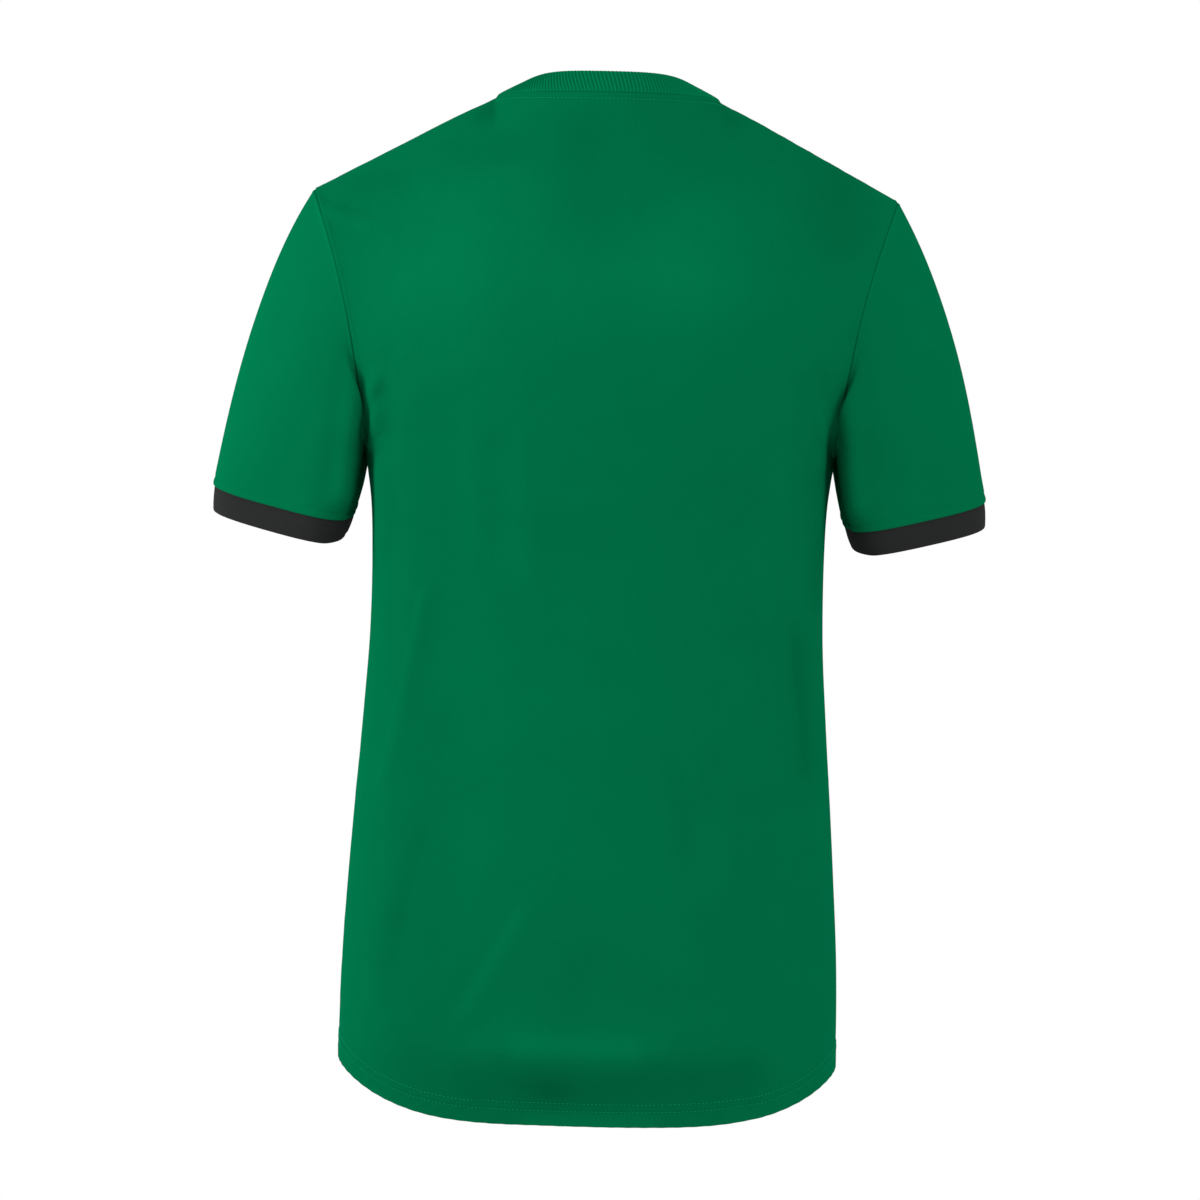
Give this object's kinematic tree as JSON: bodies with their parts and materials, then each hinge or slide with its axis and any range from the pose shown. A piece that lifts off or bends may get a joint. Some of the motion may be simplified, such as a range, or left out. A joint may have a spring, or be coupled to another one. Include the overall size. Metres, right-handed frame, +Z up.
{
  "type": "training t-shirt",
  "caption": "Short-sleeved crew-neck training t-shirt, hollow in its worn form, with a ribbed neckband, a dropped and rounded back hem and dark cuff bands.",
  "frame": {"origin": "middle of the neck opening, level with the tops of the shoulders, where the wearer's shoulders carry the shirt", "axes": "+Z up, +X towards the wearer's left, so the front of the shirt faces -Y and its back faces +Y"},
  "size_m": [0.5644, 0.2539, 0.7504],
  "materials": {
    "green_knit": "fine smooth interlock knit, slight sheen",
    "green_rib": "ribbed knit",
    "black_band": "plain folded knit, matte"
  },
  "bodies": {
    "root": {"back": "green_knit", "front": "green_knit", "sleeve_left": "green_knit", "sleeve_right": "green_knit", "collar": "green_rib", "cuff_left": "black_band", "cuff_right": "black_band"}
  },
  "joints": []
}
